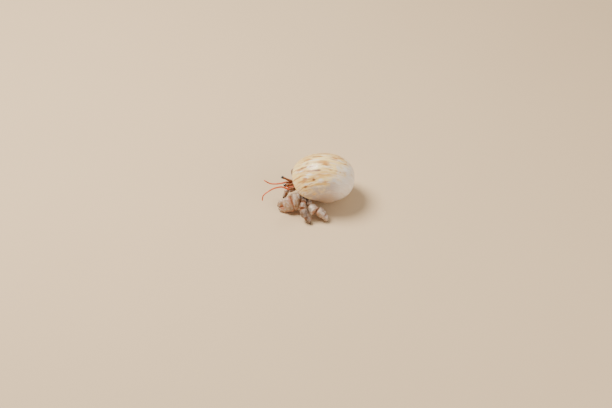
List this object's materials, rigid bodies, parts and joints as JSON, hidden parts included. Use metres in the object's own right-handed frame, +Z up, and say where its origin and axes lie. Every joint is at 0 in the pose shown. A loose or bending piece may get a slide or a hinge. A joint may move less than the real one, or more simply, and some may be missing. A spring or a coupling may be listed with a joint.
{
  "type": "hermit crab",
  "caption": "Life-size small land hermit crab standing in a round, smooth sea snail shell, as a still museum-like model.",
  "frame": {"origin": "middle of the footprint, on the surface the crab stands on", "axes": "+Z up; the crab faces -Y and its left side is +X; +Y runs towards the back of the shell"},
  "size_m": [0.0294, 0.0394, 0.0226],
  "materials": {
    "shell": "worn glossy-satin snail shell, cream with tan dashes",
    "carapace": "satin hard skin, tan with paler mottling",
    "soft_body": "soft wrinkled skin, pinkish tan",
    "eyestalk": "satin orange-brown",
    "eye": "glossy near-black",
    "antenna": "satin orange-red, ringed",
    "claw": "satin granular tan-pink, pale on top, orange along the lower edge",
    "leg": "satin granular pale tan to cream, dark claw tips"
  },
  "bodies": {
    "root": {"shell": "shell", "abdomen": "soft_body", "eye_left": "eye", "eyestalk_left": "eyestalk", "antenna_flagellum_left": "antenna", "antenna_peduncle_left": "antenna", "antennule_left": "antenna", "eye_right": "eye", "eyestalk_right": "eyestalk", "antenna_flagellum_right": "antenna", "antenna_peduncle_right": "antenna", "antennule_right": "antenna", "shield": "carapace", "cheliped_left_dactyl": "claw", "cheliped_left_palm": "claw", "cheliped_left_carpus": "claw", "cheliped_left_merus": "claw", "cheliped_left_base": "claw", "cheliped_right_dactyl": "claw", "cheliped_right_palm": "claw", "cheliped_right_carpus": "claw", "cheliped_right_merus": "claw", "cheliped_right_base": "claw", "leg2_left_dactyl": "leg", "leg2_left_propodus": "leg", "leg2_left_carpus": "leg", "leg2_left_merus": "leg", "leg2_left_base": "leg", "leg2_right_dactyl": "leg", "leg2_right_propodus": "leg", "leg2_right_carpus": "leg", "leg2_right_merus": "leg", "leg2_right_base": "leg", "leg3_left_dactyl": "leg", "leg3_left_propodus": "leg", "leg3_left_carpus": "leg", "leg3_left_merus": "leg", "leg3_left_base": "leg", "leg3_right_dactyl": "leg", "leg3_right_propodus": "leg", "leg3_right_carpus": "leg", "leg3_right_merus": "leg", "leg3_right_base": "leg", "maxilliped_left": "leg", "leg4_left": "leg", "maxilliped_right": "leg", "leg4_right": "leg", "thorax": "carapace", "carapace_hind": "soft_body"}
  },
  "joints": []
}
